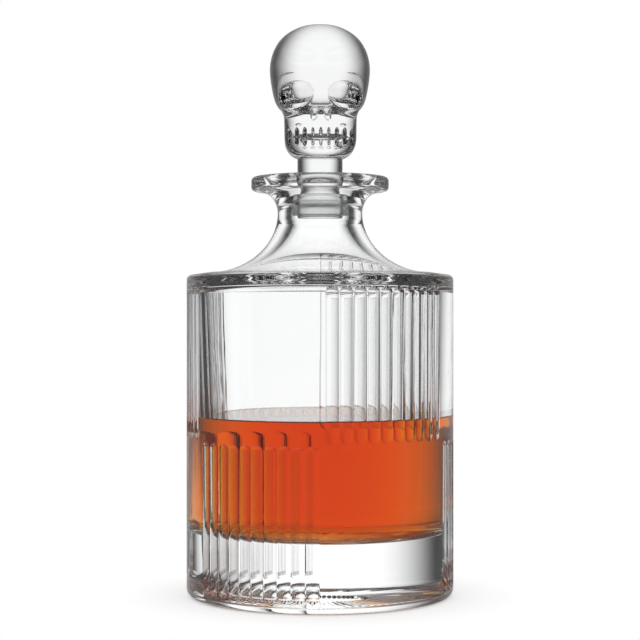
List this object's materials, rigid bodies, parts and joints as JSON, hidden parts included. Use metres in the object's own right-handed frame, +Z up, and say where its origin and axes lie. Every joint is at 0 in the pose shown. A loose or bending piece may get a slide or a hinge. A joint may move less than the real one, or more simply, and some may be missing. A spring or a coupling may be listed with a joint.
{
  "type": "figural liquor decanter",
  "caption": "Heavy cylindrical pressed-glass spirit decanter with fluted panels, a flared neck and a lift-out skull stopper on a soft seal.",
  "frame": {"origin": "centre of the base, on the surface that the decanter stands on", "axes": "+Z up along the neck's axis, -Y the way the skull faces, +X to the viewer's right"},
  "size_m": [0.112, 0.112, 0.24],
  "materials": {
    "vessel_glass": "polished",
    "spirit": "gloss",
    "clear_seal": "satin",
    "stopper_glass": "polished"
  },
  "bodies": {
    "decanter": {"decanter_body": "vessel_glass", "spirit_fill": "spirit"},
    "seal": {"stopper_seal": "clear_seal"},
    "stopper": {"skull_stopper": "stopper_glass"}
  },
  "joints": [
    {"name": "stopper_lift", "type": "slide", "parent": "decanter", "child": "seal", "axis": [0, 0, 1], "range_m": [0, 0.09]},
    {"name": "stopper_turn", "type": "hinge", "parent": "seal", "child": "stopper", "pos_m": [0, 0, 0.1684], "axis": [0, 0, 1], "continuous": true}
  ]
}
